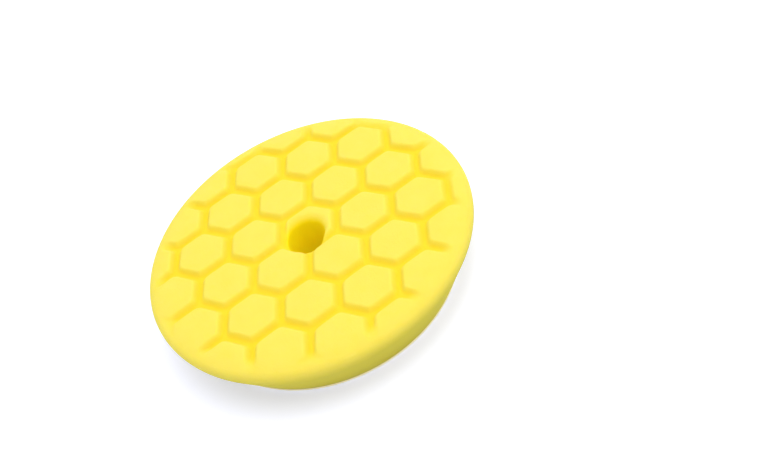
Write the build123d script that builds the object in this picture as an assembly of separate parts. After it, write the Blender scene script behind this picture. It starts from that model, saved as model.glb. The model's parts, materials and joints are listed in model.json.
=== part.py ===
from build123d import *
from math import asin, atan, atan2, cos, degrees, hypot, sin, sqrt
import os

# Foam polishing pad for a rotary or dual-action polisher, in millimetres.
# The pad lies on its loop backing: the origin is the middle of the backing's outer
# face, and +Z runs along the axis towards the embossed working face.

# ---- overall sizes
FACE_DIA = 150.0  # widest diameter, just under the working face
BACKING_DIA = 124.0  # loop disc, sized for a 125 mm backing plate
PAD_THICKNESS = 31.75  # loops to working face
HOLE_DIA = 17.5  # centring hole, right through
LIP_RADIUS = 4.0  # rounding where the hole meets the working face

# ---- layers laminated to the back of the foam
LOOP_THICKNESS = 1.6  # brushed loop cloth, pile included
FILM_THICKNESS = 0.3  # hot-melt film that bonds the cloth

# ---- rim of the working face
RIM_RUN = 12.0  # how far in from the widest point the face starts to fall
RIM_DROP = 5.0  # height of the face above the widest point
EDGE_RADIUS = 3.5  # rounding at the widest point, above it
UNDERCUT_RADIUS = 8.0  # rounding at the widest point, below it

# ---- hexagonal emboss
CELL_PITCH = 25.4  # from one cell's middle to the next
GROOVE_DEPTH = 2.4  # from the face down to the groove's floor
GROOVE_TOP = 4.4  # groove width at the face
GROOVE_FLOOR = 1.8  # groove width at its floor
PATTERN_DIA = 138.0  # the grooves run this far out at their floor
RUN_OUT = 4.0  # how far beyond that they climb to the face
PATTERN_X = 2.1  # the middle cell's centre, off the pad's axis
PATTERN_Y = 4.2

# ---- what follows from them
FACE_R = FACE_DIA / 2
BACKING_R = BACKING_DIA / 2
HOLE_R = HOLE_DIA / 2
FOAM_BASE = LOOP_THICKNESS + FILM_THICKNESS  # where the foam starts
WIDEST_Z = PAD_THICKNESS - RIM_DROP
FLOOR_Z = PAD_THICKNESS - GROOVE_DEPTH


def tapered_wall_end():
    """Where the straight wall from the backing's edge meets the undercut arc."""
    run = FACE_R - UNDERCUT_RADIUS - BACKING_R
    rise = WIDEST_Z - FOAM_BASE
    wall_length = sqrt(run**2 + rise**2 - UNDERCUT_RADIUS**2)
    wall_angle = atan2(rise, run) - asin(UNDERCUT_RADIUS / hypot(run, rise))
    return (BACKING_R + wall_length * cos(wall_angle), FOAM_BASE + wall_length * sin(wall_angle))


def shoulder_end():
    """Where the gentle arc that falls from the face turns into the tighter arc at the edge."""
    run = RIM_RUN - EDGE_RADIUS
    gentle_radius = (run**2 + RIM_DROP**2 - EDGE_RADIUS**2) / (2 * (RIM_DROP - EDGE_RADIUS))
    slope = atan2(run, gentle_radius - RIM_DROP)
    return (FACE_R - EDGE_RADIUS * (1 - sin(slope)), WIDEST_Z + EDGE_RADIUS * cos(slope))


def foam_blank():
    """The pad before embossing: a tapered ring with a soft outer rim and a soft lip at the hole."""
    hole_foot = (HOLE_R, FOAM_BASE)
    back_edge = (BACKING_R, FOAM_BASE)
    wall_top = tapered_wall_end()
    widest = (FACE_R, WIDEST_Z)
    shoulder = shoulder_end()
    face_edge = (FACE_R - RIM_RUN, PAD_THICKNESS)
    lip_edge = (HOLE_R + LIP_RADIUS, PAD_THICKNESS)
    lip_foot = (HOLE_R, PAD_THICKNESS - LIP_RADIUS)
    with BuildPart() as blank:
        with BuildSketch(Plane.XZ):
            with BuildLine():
                Line(hole_foot, back_edge)
                Line(back_edge, wall_top)
                TangentArc([widest, wall_top], tangent=(0, -1))
                TangentArc([widest, shoulder], tangent=(0, 1))
                TangentArc([face_edge, shoulder], tangent=(1, 0))
                Line(face_edge, lip_edge)
                TangentArc([lip_edge, lip_foot], tangent=(-1, 0))
                Line(lip_foot, hole_foot)
            make_face()
        revolve(axis=Axis.Z)
    return blank.part


def cell_centres():
    """Centres of every hexagonal cell that can reach the working face, in staggered rows."""
    reach = FACE_R + CELL_PITCH
    row_gap = CELL_PITCH * sqrt(3) / 2
    rows = int(reach / row_gap) + 1
    columns = int(reach / CELL_PITCH) + 1
    centres = []
    for row in range(-rows, rows + 1):
        stagger = CELL_PITCH / 2 * (row % 2)
        for column in range(-columns, columns + 1):
            x = PATTERN_X + stagger + column * CELL_PITCH
            y = PATTERN_Y + row * row_gap
            if hypot(x, y) < reach:
                centres.append((x, y))
    return centres


def emboss_grooves():
    """The honeycomb of grooves, as the solid that the press pushes into the foam."""
    flank_taper = degrees(atan((GROOVE_TOP - GROOVE_FLOOR) / 2 / GROOVE_DEPTH))
    flat_to_flat = CELL_PITCH - GROOVE_FLOOR
    with BuildPart() as grooves:
        with Locations((0, 0, FLOOR_Z)):
            reach = PATTERN_DIA / 2
            Cone(reach, reach + RUN_OUT, GROOVE_DEPTH, align=(Align.CENTER, Align.CENTER, Align.MIN))
        with BuildSketch(Plane.XY.offset(FLOOR_Z)):
            with Locations(*cell_centres()):
                RegularPolygon(flat_to_flat / 2, 6, major_radius=False, rotation=30)
        extrude(amount=GROOVE_DEPTH, taper=flank_taper, mode=Mode.SUBTRACT)
    return grooves.part


def foam_disc():
    """Yellow polishing foam: tapered disc, honeycomb working face and centring hole."""
    return foam_blank() - emboss_grooves()


def bonded_layer(low, thickness):
    """A flat ring as wide as the foam's back, with the centring hole through it."""
    with BuildPart() as layer:
        with BuildSketch(Plane.XY.offset(low)):
            Circle(BACKING_R)
            Circle(HOLE_R, mode=Mode.SUBTRACT)
        extrude(amount=thickness)
    return layer.part


def adhesive_film():
    """Hot-melt film between the loop cloth and the foam."""
    return bonded_layer(LOOP_THICKNESS, FILM_THICKNESS)


def loop_backing():
    """Brushed loop cloth that the hooks of a backing plate grip."""
    return bonded_layer(0, LOOP_THICKNESS)


nodes = {
    "foam_disc": foam_disc(),
    "adhesive_film": adhesive_film(),
    "loop_backing": loop_backing(),
}
os.makedirs("parts", exist_ok=True)
for name, shape in nodes.items():
    export_step(shape, f"parts/{name}.step")
    print(name, "solids", len(shape.solids()), "volume cm3", round(shape.volume / 1000, 2))
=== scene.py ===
# %% [markdown]
# # A foam polishing pad
# A polishing pad is a laminate: a disc of open-cell foam, a film of hot-melt glue and a
# cloth of brushed loops that the hooks of a machine's backing plate grip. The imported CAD
# model holds the sizes. This lesson gives the pad its looks: soft embossed foam, a
# fuzzy loop back and a glue line, on a pale floor in soft light.

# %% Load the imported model
import json
import math
import random

import bmesh
import bpy
from mathutils import Matrix, Vector, noise


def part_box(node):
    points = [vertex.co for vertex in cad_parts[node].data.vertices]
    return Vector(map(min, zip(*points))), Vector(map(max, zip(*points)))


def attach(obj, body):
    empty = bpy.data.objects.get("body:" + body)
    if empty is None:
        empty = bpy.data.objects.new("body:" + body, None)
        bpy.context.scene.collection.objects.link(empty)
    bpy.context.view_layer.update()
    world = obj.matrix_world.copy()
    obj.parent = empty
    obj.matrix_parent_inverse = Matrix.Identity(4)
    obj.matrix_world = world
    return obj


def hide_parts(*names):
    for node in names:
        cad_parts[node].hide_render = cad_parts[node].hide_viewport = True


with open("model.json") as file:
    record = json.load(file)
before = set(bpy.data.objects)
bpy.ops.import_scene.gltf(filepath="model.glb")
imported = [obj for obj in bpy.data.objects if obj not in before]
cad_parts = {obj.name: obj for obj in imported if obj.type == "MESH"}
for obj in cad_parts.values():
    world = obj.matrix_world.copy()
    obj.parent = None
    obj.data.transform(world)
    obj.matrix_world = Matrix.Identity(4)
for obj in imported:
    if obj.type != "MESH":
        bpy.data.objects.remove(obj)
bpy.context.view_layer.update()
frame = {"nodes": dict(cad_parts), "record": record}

MM = 0.001
print("CAD nodes:", sorted(frame["nodes"]))

# %% [markdown]
# ## Sizes
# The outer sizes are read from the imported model, so the soft pieces always fill the space
# that the CAD gives them. The shape between those limits, such as the soft rim and the
# honeycomb, repeats the few sizes that the CAD model was drawn with.

# %% Read the sizes
foam_low, foam_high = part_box("foam_disc")
cloth_low, cloth_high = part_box("loop_backing")
bores = {mount["name"]: mount for mount in frame["record"]["mounts"]}

FACE_R = foam_high.x
TOP_Z = foam_high.z
FOAM_BASE = foam_low.z
BACK_R = cloth_high.x
HOLE_R = bores["centring_hole"]["dims"]["r_mm"] * MM

RIM_RUN = 12.0 * MM  # how far in from the widest point the face starts to fall
RIM_DROP = 5.0 * MM  # height of the face above the widest point
EDGE_R = 3.5 * MM  # rounding at the widest point, above it
UNDERCUT_R = 8.0 * MM  # rounding at the widest point, below it
LIP_R = 4.0 * MM  # rounding where the hole meets the face

CELL_PITCH = 25.4 * MM
CELL_MIDDLE = Vector((2.1 * MM, 4.2 * MM))  # the middle cell, beside the pad's axis
GROOVE_DEPTH = 2.4 * MM
PATTERN_R = 69.0 * MM  # the grooves run this far out at their floor
RUN_OUT = 4.0 * MM  # how far beyond that they climb to the face
print("face radius mm", round(FACE_R / MM, 2), "hole radius mm", round(HOLE_R / MM, 2))

# %% [markdown]
# ## The camera
# The camera comes first, because every later choice is judged through it. It looks down
# on the pad from the front and a little to the right, and it is rolled, as a hand-held
# camera often is. A point that it looks at, a distance and three angles say all of that.

# %% Place the camera
VIEW_POINT = Vector((32.45, 1.35, 15.9)) * MM
VIEW_DISTANCE = 500.7 * MM
AZIMUTH = math.radians(14.34)
ELEVATION = math.radians(44.21)
ROLL = math.radians(24.6)
LENS_MM = 52.91


def place_camera():
    back = Vector((
        math.sin(AZIMUTH) * math.cos(ELEVATION),
        -math.cos(AZIMUTH) * math.cos(ELEVATION),
        math.sin(ELEVATION),
    ))
    turn = back.to_track_quat("Z", "Y").to_matrix().to_4x4()
    data = bpy.data.cameras.new("studio_camera")
    data.lens = LENS_MM
    data.clip_start = 0.01
    camera = bpy.data.objects.new("studio_camera", data)
    place = Matrix.Translation(VIEW_POINT + back * VIEW_DISTANCE)
    camera.matrix_world = place @ turn @ Matrix.Rotation(-ROLL, 4, "Z")
    bpy.context.scene.collection.objects.link(camera)
    bpy.context.scene.camera = camera
    return camera


camera = place_camera()
print("camera at mm", [round(c / MM) for c in camera.matrix_world.translation])

# %% [markdown]
# ## A grid that fits a honeycomb
# The foam's grooves run in three directions, 60 degrees apart. A square grid would cut
# across two of them and leave steps along their edges. A hexagon made of triangles has
# edges in just those three directions, so each groove follows the mesh. One hexagon,
# subdivided evenly, therefore carries the whole face, and what lies outside the disc or
# inside its hole is deleted. The ragged edge that this leaves is moved onto a circle.


# %% Disc grid
def free_edges(bm):
    """The open edges of a ring, as its outer and its inner boundary."""
    edges = [e for e in bm.edges if e.is_boundary]
    reach = [(e.verts[0].co.xy.length, e) for e in edges]
    middle = (max(r for r, e in reach) + min(r for r, e in reach)) / 2
    outer = [e for r, e in reach if r > middle]
    inner = [e for r, e in reach if r <= middle]
    return outer, inner


def snap_to_circle(bm, edges, radius):
    verts = {v for e in edges for v in e.verts}
    for v in verts:
        v.co.xy = v.co.xy.normalized() * radius


def ring_grid(centre, spacing, outer_r, inner_r, z):
    """A flat ring of even triangles whose edges run along a honeycomb's grooves."""
    bm = bmesh.new()
    cuts = math.ceil((outer_r + centre.length) / (spacing * math.cos(math.radians(30)))) + 1
    turn = Matrix.Rotation(math.radians(30), 4, "Z")
    place = Matrix.Translation((centre.x, centre.y, z)) @ turn
    bmesh.ops.create_circle(
        bm, cap_ends=True, cap_tris=True, segments=6, radius=cuts * spacing, matrix=place
    )
    bmesh.ops.subdivide_edges(bm, edges=bm.edges[:], cuts=cuts - 1, use_grid_fill=True)
    out = [v for v in bm.verts if not inner_r < v.co.xy.length < outer_r]
    bmesh.ops.delete(bm, geom=out, context="VERTS")
    for edges, radius in zip(free_edges(bm), (outer_r, inner_r)):
        snap_to_circle(bm, edges, radius)
    rim_verts = [v for v in bm.verts if v.is_boundary]
    bmesh.ops.remove_doubles(bm, verts=rim_verts, dist=spacing * 0.3)
    return bm


# %% [markdown]
# The sides of a round piece are rings too. An open edge is extruded and the new ring is
# moved to its own radius and height, step by step along an outline. Because the ring is
# already a circle, a scale about the axis is all that a new radius needs.


# %% Walls along an outline
def wall_down(bm, edges, outline):
    """Extrudes a circular open edge through each (radius, height) of an outline."""
    for radius, height in outline:
        new = bmesh.ops.extrude_edge_only(bm, edges=edges)["geom"]
        edges = [g for g in new if isinstance(g, bmesh.types.BMEdge)]
        snap_to_circle(bm, edges, radius)
        for v in {v for e in edges for v in e.verts}:
            v.co.z = height
    return edges


def close_ring(bm, outer, inner):
    """Closes the back of a ring and turns every face outwards."""
    bmesh.ops.bridge_loops(bm, edges=outer + inner)
    bmesh.ops.recalc_face_normals(bm, faces=bm.faces[:])


def finish_piece(bm, name):
    mesh = bpy.data.meshes.new(name)
    bm.to_mesh(mesh)
    bm.free()
    mesh.shade_smooth()
    piece = bpy.data.objects.new(name, mesh)
    bpy.context.scene.collection.objects.link(piece)
    mesh.calc_loop_triangles()
    print(name, "triangles", len(mesh.loop_triangles))
    return piece


# %% [markdown]
# ## The foam blank
# Before it is embossed, the foam is a tapered ring. Its flat face falls away in a gentle
# arc, a tighter arc goes round the edge, and the wall below runs straight in to the back.
# The flat grid can't follow the steep part of the edge or of the hole's lip, so it stops
# where the surface slopes by 45 degrees and the extruded wall takes over.

# %% Outline of the blank
ARC_STEPS = 8
UNDERCUT_STEPS = 5
WALL_STEPS = 12
BORE_STEPS = 16
WIDEST_Z = TOP_Z - RIM_DROP
STEEP = math.radians(45)
SHOULDER_RUN = RIM_RUN - EDGE_R
GENTLE_R = (SHOULDER_RUN**2 + RIM_DROP**2 - EDGE_R**2) / (2 * (RIM_DROP - EDGE_R))
SHOULDER_SLOPE = math.atan2(SHOULDER_RUN, GENTLE_R - RIM_DROP)


def edge_point(slope):
    """A point of the tight arc at the edge, from the surface's slope there."""
    return (FACE_R - EDGE_R * (1 - math.sin(slope)), WIDEST_Z + EDGE_R * math.cos(slope))


def lip_point(slope):
    """A point of the hole's lip, from the surface's slope there."""
    return (HOLE_R + LIP_R * (1 - math.sin(slope)), TOP_Z - LIP_R * (1 - math.cos(slope)))


def arc_fall(radius, run):
    """How far an arc that starts level has fallen after a run."""
    return radius - math.sqrt(radius**2 - min(run, radius) ** 2)


def wall_tangent():
    """Where the straight wall leaves the undercut arc, as the arc's angle and the point."""
    run = FACE_R - UNDERCUT_R - BACK_R
    rise = WIDEST_Z - FOAM_BASE
    along = math.atan2(rise, run) - math.asin(UNDERCUT_R / math.hypot(run, rise))
    turn = math.pi / 2 - along
    point = (
        FACE_R - UNDERCUT_R + UNDERCUT_R * math.cos(turn),
        WIDEST_Z - UNDERCUT_R * math.sin(turn),
    )
    return turn, point


def between(first, last, steps):
    """Evenly spaced values after the first, up to and with the last."""
    return [first + (last - first) * i / steps for i in range(1, steps + 1)]


def side_outline():
    edge = [edge_point(slope) for slope in between(STEEP, math.pi / 2, ARC_STEPS)]
    turn, wall_top = wall_tangent()
    undercut = []
    for a in between(0, turn, UNDERCUT_STEPS):
        undercut.append((
            FACE_R - UNDERCUT_R + UNDERCUT_R * math.cos(a),
            WIDEST_Z - UNDERCUT_R * math.sin(a),
        ))
    wall = []
    for t in between(0, 1, WALL_STEPS):
        wall.append((
            wall_top[0] + (BACK_R - wall_top[0]) * t,
            wall_top[1] + (FOAM_BASE - wall_top[1]) * t,
        ))
    return edge + undercut + wall


def hole_outline():
    lip = [lip_point(slope) for slope in between(STEEP, math.pi / 2, ARC_STEPS)]
    wall = [(HOLE_R, z) for z in between(TOP_Z - LIP_R, FOAM_BASE, BORE_STEPS)]
    return lip + wall


def face_height(radius):
    """Height of the blank's upper surface at a radius."""
    shoulder_r, shoulder_z = edge_point(SHOULDER_SLOPE)
    if radius > shoulder_r:
        over = radius - (FACE_R - EDGE_R)
        return WIDEST_Z + EDGE_R - arc_fall(EDGE_R, over)
    if radius > FACE_R - RIM_RUN:
        return TOP_Z - arc_fall(GENTLE_R, radius - (FACE_R - RIM_RUN))
    if radius < HOLE_R + LIP_R:
        return TOP_Z - arc_fall(LIP_R, HOLE_R + LIP_R - radius)
    return TOP_Z


print("outline points: side", len(side_outline()), "hole", len(hole_outline()))

# %% [markdown]
# ## The honeycomb
# The grooves are pressed into warm foam with a heated plate, so they have soft shoulders
# and fade out near the rim. The same is done here: each point of the blank finds its
# place in its own cell and is moved down by the press. Its place is a hexagonal distance,
# 0 at a cell's middle and 1 on the groove's centre line. A plain hexagonal distance is
# the largest of three strips. Adding their high powers instead rounds the cell's corners,
# as foam does.

# %% Press the grooves
ROW_GAP = CELL_PITCH * math.sqrt(3) / 2
APOTHEM = CELL_PITCH / 2
CORNER_POWER = 18  # lower is rounder
GROOVE_FLOOR_HALF = 0.6 * MM  # half width at the groove's floor
GROOVE_TOP_HALF = 3.1 * MM  # half width at the cell's top
FADE_IN = 4.0 * MM  # how far inside the pattern's edge the grooves begin to fade
CROWN = 0.25 * MM  # how far a cell's top falls from its middle to its edge
LIP_FADE = 7.2 * MM  # how far below the lip the grooves take to fade in the hole
WOBBLE = 0.012  # how far, as a share of a half cell, a groove wanders
WOBBLE_SIZE = 9 * MM
STRIPS = [Vector((math.cos(a), math.sin(a))) for a in (0, math.pi / 3, 2 * math.pi / 3)]


def cell_reach(point):
    """0 at the nearest cell's middle, 1 on the groove's centre line."""
    from_middle = point - CELL_MIDDLE
    low_row = math.floor(from_middle.y / ROW_GAP)
    offsets = []
    for row in (low_row, low_row + 1):
        stagger = CELL_PITCH / 2 * (row % 2)
        column = round((from_middle.x - stagger) / CELL_PITCH)
        offsets.append(from_middle - Vector((stagger + column * CELL_PITCH, row * ROW_GAP)))
    nearest = min(offsets, key=lambda offset: offset.length)
    powers = sum(abs(nearest.dot(strip) / APOTHEM) ** CORNER_POWER for strip in STRIPS)
    return powers ** (1 / CORNER_POWER)


def smooth_step(value, low, high):
    share = min(1, max(0, (value - low) / (high - low)))
    return share * share * (3 - 2 * share)


def press_at(point):
    """How far the press moves a point down, and how deep in a groove it lies from 0 to 1."""
    wobble = noise.noise(Vector((point.x, point.y, 0)) / WOBBLE_SIZE) * WOBBLE
    reach = cell_reach(point.xy) + wobble
    from_centre_line = APOTHEM * (1 - reach)
    groove = 1 - smooth_step(from_centre_line, GROOVE_FLOOR_HALF, GROOVE_TOP_HALF)
    below_face = TOP_Z - point.z
    if point.xy.length < HOLE_R + LIP_R:
        left = 1 - smooth_step(below_face, LIP_R, LIP_R + LIP_FADE)
    else:
        fade = 1 - smooth_step(point.xy.length, PATTERN_R - FADE_IN, PATTERN_R + RUN_OUT)
        left = fade * min(1, max(0, 1 - below_face / GROOVE_DEPTH))
    crown = CROWN * min(1, reach) ** 3
    return left * (groove * GROOVE_DEPTH + (1 - groove) * crown), left * groove


groove_spot = Vector((CELL_MIDDLE.x + APOTHEM, CELL_MIDDLE.y, TOP_Z))
print("press in a groove mm", round(press_at(groove_spot)[0] / MM, 2))

# %% [markdown]
# ## The foam piece
# The grid, the two walls and the press come together here. Each point also keeps three
# shares for the material to read: how deep it lies in a groove, for painted shade there;
# how far down the side under the rim it lies, for painted shade there; and how deep it
# lies in the hole, for painted bounce light there.

# %% Foam piece
GRID = 0.611 * MM  # a twenty-fourth of a cell's side
UNDER_RIM_SHADE_FROM = 0.5 * MM  # depth below the face at which the painted shade on the side under the rim begins
UNDER_RIM_SHADE_FULL = 10.0 * MM
HOLE_LIGHT_FULL = 3.5 * MM  # depth in the hole at which its painted bounce light is strongest
GROOVE_SHADE_SPREAD = 0.85  # below 1 the painted groove shade climbs the groove's sides


def press_foam(bm):
    """Presses the honeycomb in and keeps what the material needs to know of each point."""
    groove_shade = bm.verts.layers.float.new("groove_shade")
    hole_bounce_light = bm.verts.layers.float.new("hole_bounce_light")
    under_rim_shade = bm.verts.layers.float.new("under_rim_shade")
    for v in bm.verts:
        below_face = TOP_Z - v.co.z
        at_hole = v.co.xy.length < HOLE_R + LIP_R
        down, groove = press_at(v.co)
        v.co.z -= down
        # Painted shade in the grooves, painted bounce light in the hole and painted shade on the
        # side under the rim, darker further down.
        v[groove_shade] = groove**GROOVE_SHADE_SPREAD
        v[hole_bounce_light] = smooth_step(below_face, 0, HOLE_LIGHT_FULL) if at_hole else 0
        v[under_rim_shade] = 0 if at_hole else smooth_step(below_face, UNDER_RIM_SHADE_FROM, UNDER_RIM_SHADE_FULL)


def make_foam():
    outer_r, _ = edge_point(STEEP)
    inner_r, _ = lip_point(STEEP)
    bm = ring_grid(CELL_MIDDLE, GRID, outer_r, inner_r, TOP_Z)
    for v in bm.verts:
        v.co.z = face_height(v.co.xy.length)
    outer, inner = free_edges(bm)
    outer = wall_down(bm, outer, side_outline())
    inner = wall_down(bm, inner, hole_outline())
    close_ring(bm, outer, inner)
    press_foam(bm)
    return finish_piece(bm, "foam_pad")


foam = make_foam()

# %% [markdown]
# ## The loop cloth
# The back is a knitted cloth with a brushed nap of loops. It is cut with the foam, so its
# edge is a plain circle. A solid ring gives it its body, with the same triangle grid on
# the outer side, where the nap is uneven.

# %% Cloth piece
NAP = 0.5 * MM  # height of the loops that stand out of the cloth
CLOTH_GRID = 1.0 * MM
NAP_WAVE = 1.4 * MM
NAP_RISE = 0.12 * MM
EDGE_BEVEL = 0.3 * MM  # height over which the trimmed edge turns out to its full radius


def make_cloth():
    face_z = cloth_low.z + NAP
    bm = ring_grid(Vector((0, 0)), CLOTH_GRID, BACK_R - 0.2 * MM, HOLE_R + 0.1 * MM, face_z)
    for v in bm.verts:
        v.co.z += noise.noise(v.co / NAP_WAVE) * NAP_RISE
    outer, inner = free_edges(bm)
    outer = wall_down(bm, outer, [(BACK_R, face_z + EDGE_BEVEL), (BACK_R, cloth_high.z)])
    inner = wall_down(bm, inner, [(HOLE_R, face_z + EDGE_BEVEL), (HOLE_R, cloth_high.z)])
    close_ring(bm, outer, inner)
    return finish_piece(bm, "loop_cloth")


cloth = make_cloth()

# %% [markdown]
# Each loop of the nap is an arch of thread. One arch is a three-sided thread spun through
# half a turn. It is copied thousands of times, and a seeded random draw places, turns and
# leans each copy.

# %% Nap piece
random.seed(7)
LOOPS = 9400
THREAD_R = 0.06 * MM
LOOP_R = 0.46 * MM
BARE_AT_HOLE = 0.6 * MM  # strip without loops
BARE_AT_EDGE = 0.5 * MM
MOST_LEAN = 0.7  # radians either way


def make_arch():
    """One loop of thread, standing on its two feet at the origin."""
    bm = bmesh.new()
    side_on = Matrix.Translation((LOOP_R, 0, 0)) @ Matrix.Rotation(math.pi / 2, 4, "X")
    bmesh.ops.create_circle(bm, cap_ends=True, segments=3, radius=THREAD_R, matrix=side_on)
    bmesh.ops.spin(
        bm, geom=bm.verts[:] + bm.edges[:] + bm.faces[:], axis=(0, 1, 0), cent=(0, 0, 0),
        angle=math.pi, steps=3,
    )
    bmesh.ops.recalc_face_normals(bm, faces=bm.faces[:])
    arch = bpy.data.meshes.new("arch_of_thread")
    bm.to_mesh(arch)
    bm.free()
    return arch


def loop_place():
    """A random spot of the cloth, with a random turn and lean."""
    inner_r = HOLE_R + BARE_AT_HOLE
    outer_r = BACK_R - BARE_AT_EDGE
    radius = math.sqrt(random.uniform(inner_r**2, outer_r**2))
    angle = random.uniform(0, 2 * math.pi)
    spot = Vector((radius * math.cos(angle), radius * math.sin(angle), cloth_low.z + NAP))
    turn = Matrix.Rotation(random.uniform(0, math.pi), 4, "Z")
    lean = Matrix.Rotation(random.uniform(-MOST_LEAN, MOST_LEAN), 4, "X")
    return Matrix.Translation(spot) @ turn @ lean


def make_nap():
    bm = bmesh.new()
    arch = make_arch()
    for _ in range(LOOPS):
        loop = arch.copy()
        loop.transform(loop_place())
        bm.from_mesh(loop)
        bpy.data.meshes.remove(loop)
    bpy.data.meshes.remove(arch)
    return finish_piece(bm, "loop_nap")


nap = make_nap()

# %% [markdown]
# ## Colours and nodes
# A colour given here is an sRGB value, and a shader wants linear light, so one function
# turns a hex colour into linear numbers. Another adds a node, sets it up and links its
# inputs, so that each material below reads as a short list.


# %% Helpers for materials
def srgb(code):
    """A linear colour from a hex sRGB one."""
    parts = [int(code[i:i + 2], 16) / 255 for i in (1, 3, 5)]
    linear = [c / 12.92 if c <= 0.04045 else ((c + 0.055) / 1.055) ** 2.4 for c in parts]
    return (*linear, 1)


def add_node(tree, kind, links=None, **settings):
    """Adds a node. Settings are its properties or inputs, and links feed inputs by name."""
    node = tree.nodes.new(kind)
    for name, value in settings.items():
        if hasattr(node, name):
            setattr(node, name, value)
        else:
            node.inputs[name.replace("_", " ")].default_value = value
    for name, output in (links or {}).items():
        tree.links.new(output, node.inputs[name])
    return node


def new_material(name):
    material = bpy.data.materials.new(name)
    material.use_nodes = True
    return material, material.node_tree, material.node_tree.nodes["Principled BSDF"]


def per_mm(size):
    """A pattern's scale from the real size of one of its cells, in millimetres."""
    return 1 / (size * MM)


print("mid grey as linear light", round(srgb("#808080")[0], 3))

# %% [markdown]
# ## Open-cell polyurethane foam
# Polishing foam is polyurethane blown to fine open cells. It has no gloss at all, and
# light goes a few millimetres into it and comes out warmer. Painted light is mixed into
# its colour: painted shade deepens the grooves and darkens the side under the rim, and the
# wall of the hole gets a strong warm yellow of painted bounce light, as if lit through the
# foam. The real cells are about 0.4 mm across. They are drawn at 0.8 mm so that they still show.


# %% Foam material
def foam_material():
    material, tree, shader = new_material("open_cell_polyurethane_foam")
    place = add_node(tree, "ShaderNodeTexCoord").outputs["Object"]
    blotch = add_node(tree, "ShaderNodeTexNoise", {"Vector": place}, Scale=per_mm(7), Detail=3)
    cells = add_node(tree, "ShaderNodeTexVoronoi", {"Vector": place}, Scale=per_mm(0.8))
    grain = add_node(tree, "ShaderNodeTexNoise", {"Vector": place}, Scale=per_mm(0.5), Detail=2)

    colour = add_node(tree, "ShaderNodeMix", {"Factor": blotch.outputs["Fac"]}, data_type="RGBA")
    colour.inputs["A"].default_value = srgb("#ecdb62")
    colour.inputs["B"].default_value = srgb("#e9d754")
    # Painted light: painted shade in the grooves, painted shade on the side under the rim,
    # painted bounce light in the hole.
    for layer, code in (("groove_shade", "#edd332"), ("under_rim_shade", "#b3a632"), ("hole_bounce_light", "#ffe508")):
        share = add_node(tree, "ShaderNodeAttribute", attribute_name=layer).outputs["Fac"]
        mix = add_node(tree, "ShaderNodeMix", {"Factor": share}, data_type="RGBA")
        tree.links.new(colour.outputs["Result"], mix.inputs["A"])
        mix.inputs["B"].default_value = srgb(code)
        colour = mix
    tree.links.new(colour.outputs["Result"], shader.inputs["Base Color"])

    height = add_node(tree, "ShaderNodeMath", operation="ADD")
    tree.links.new(cells.outputs["Distance"], height.inputs[0])
    tree.links.new(grain.outputs["Fac"], height.inputs[1])
    bump = add_node(tree, "ShaderNodeBump", {"Height": height.outputs[0]})
    bump.inputs["Strength"].default_value = 0.35
    bump.inputs["Distance"].default_value = 0.2 * MM
    tree.links.new(bump.outputs["Normal"], shader.inputs["Normal"])

    shader.inputs["Roughness"].default_value = 0.95
    shader.inputs["Specular IOR Level"].default_value = 0.1
    shader.inputs["Subsurface Weight"].default_value = 0.8
    shader.inputs["Subsurface Radius"].default_value = (1.0, 0.8, 0.3)
    shader.inputs["Subsurface Scale"].default_value = 2.5 * MM
    return material


foam.data.materials.append(foam_material())
print("foam wears", foam.data.materials[0].name)

# %% [markdown]
# ## Brushed loop cloth
# The cloth is cream polyester. Brushing raises its fibres, which catch the light at the
# edge of the view, so it gets a sheen and no gloss.


# %% Cloth material
def cloth_material(name, bump_mm):
    material, tree, shader = new_material(name)
    place = add_node(tree, "ShaderNodeTexCoord").outputs["Object"]
    tufts = add_node(tree, "ShaderNodeTexNoise", {"Vector": place}, Scale=per_mm(1.1), Detail=4)
    tint = add_node(tree, "ShaderNodeMix", data_type="RGBA")
    tint.inputs["A"].default_value = srgb("#fbf0c0")
    tint.inputs["B"].default_value = srgb("#fff8d6")
    tree.links.new(tufts.outputs["Fac"], tint.inputs["Factor"])
    tree.links.new(tint.outputs["Result"], shader.inputs["Base Color"])
    bump = add_node(tree, "ShaderNodeBump", {"Height": tufts.outputs["Fac"]})
    bump.inputs["Strength"].default_value = 0.5
    bump.inputs["Distance"].default_value = bump_mm * MM
    tree.links.new(bump.outputs["Normal"], shader.inputs["Normal"])
    shader.inputs["Roughness"].default_value = 0.95
    shader.inputs["Specular IOR Level"].default_value = 0.2
    shader.inputs["Sheen Weight"].default_value = 0.4
    shader.inputs["Sheen Roughness"].default_value = 0.5
    return material


cloth.data.materials.append(cloth_material("brushed_polyester_loop_cloth", 0.3))
nap.data.materials.append(cloth_material("polyester_loop_thread", 0.05))
print("cloth wears", cloth.data.materials[0].name, "and its loops", nap.data.materials[0].name)

# %% [markdown]
# ## Hot-melt film
# The glue shows only as a thin line between cloth and foam. It is a slightly shiny,
# yellowish polymer. The CAD ring has the right shape, so it keeps its mesh.


# %% Film material
def film_material():
    material, tree, shader = new_material("hot_melt_film")
    place = add_node(tree, "ShaderNodeTexCoord").outputs["Object"]
    flow = add_node(tree, "ShaderNodeTexNoise", {"Vector": place}, Scale=per_mm(2.5), Detail=2)
    tint = add_node(tree, "ShaderNodeMix", data_type="RGBA")
    tint.inputs["A"].default_value = srgb("#efdf9a")
    tint.inputs["B"].default_value = srgb("#f6eab4")
    tree.links.new(flow.outputs["Fac"], tint.inputs["Factor"])
    tree.links.new(tint.outputs["Result"], shader.inputs["Base Color"])
    shader.inputs["Roughness"].default_value = 0.45
    return material


film = bpy.data.objects["adhesive_film"]
film.data.materials.clear()
film.data.materials.append(film_material())
print("film wears", film.data.materials[0].name)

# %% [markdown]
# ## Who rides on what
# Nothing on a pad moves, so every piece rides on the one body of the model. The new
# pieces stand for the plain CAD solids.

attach(foam, "root")
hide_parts("foam_disc")

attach(cloth, "root")
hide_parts("loop_backing")
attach(nap, "root")

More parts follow.
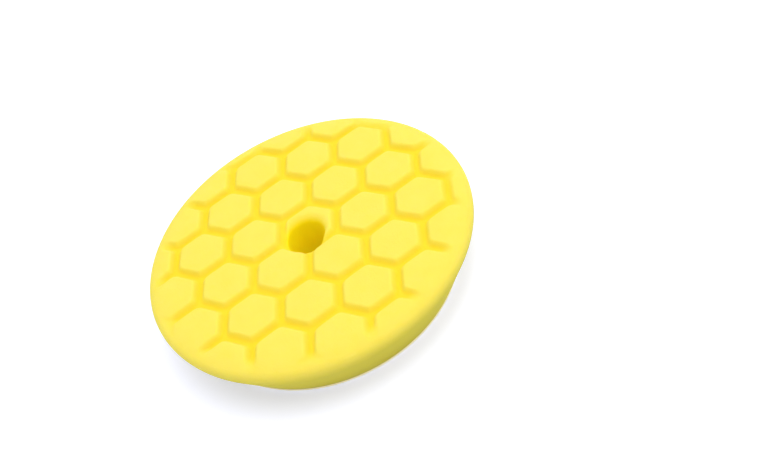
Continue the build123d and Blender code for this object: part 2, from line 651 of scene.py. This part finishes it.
# %% [markdown]
# ## Floor and light
# A pale floor lies under a white dome that is dim at the horizon and bright overhead, so
# faces that look up are light and the side under the rim is dark. A large soft lamp above
# and to the right adds a little direction. A few per cent of the floor's brightness is its
# own, slightly blue, which stops the yellow foam from tinting its shadow.


# %% Floor, lamp and dome
def make_floor():
    bm = bmesh.new()
    bmesh.ops.create_grid(bm, x_segments=1, y_segments=1, size=6)
    mesh = bpy.data.meshes.new("studio_floor")
    bm.to_mesh(mesh)
    bm.free()
    floor = bpy.data.objects.new("studio_floor", mesh)
    bpy.context.scene.collection.objects.link(floor)
    material, _, shader = new_material("pale_paper")
    shader.inputs["Base Color"].default_value = srgb("#f4f5fb")
    shader.inputs["Emission Color"].default_value = srgb("#c4ceff")
    shader.inputs["Emission Strength"].default_value = 0.34
    shader.inputs["Roughness"].default_value = 0.9
    shader.inputs["Specular IOR Level"].default_value = 0.1
    mesh.materials.append(material)


def soft_lamp(name, place, size, power):
    data = bpy.data.lights.new(name, "AREA")
    data.shape = "DISK"
    data.size = size
    data.energy = power
    lamp = bpy.data.objects.new(name, data)
    place = Vector(place)
    turn = place.to_track_quat("Z", "Y").to_matrix().to_4x4()
    lamp.matrix_world = Matrix.Translation(place) @ turn
    bpy.context.scene.collection.objects.link(lamp)


def light_dome(horizon, overhead):
    """A white dome that grows brighter from the horizon to straight overhead."""
    world = bpy.data.worlds.new("soft_dome")
    world.use_nodes = True
    tree = world.node_tree
    towards = add_node(tree, "ShaderNodeTexCoord").outputs["Generated"]
    height = add_node(tree, "ShaderNodeSeparateXYZ", {"Vector": towards}).outputs["Z"]
    strength = add_node(
        tree, "ShaderNodeMapRange", {"Value": height}, To_Min=horizon, To_Max=overhead
    )
    tree.links.new(strength.outputs["Result"], tree.nodes["Background"].inputs["Strength"])
    tree.nodes["Background"].inputs["Color"].default_value = (1, 1, 1, 1)
    bpy.context.scene.world = world


make_floor()
soft_lamp("overhead_lamp", place=(0.5, -0.1, 1.05), size=1.2, power=6)
light_dome(horizon=0.45, overhead=1.2)
bpy.context.scene.view_settings.view_transform = "Standard"
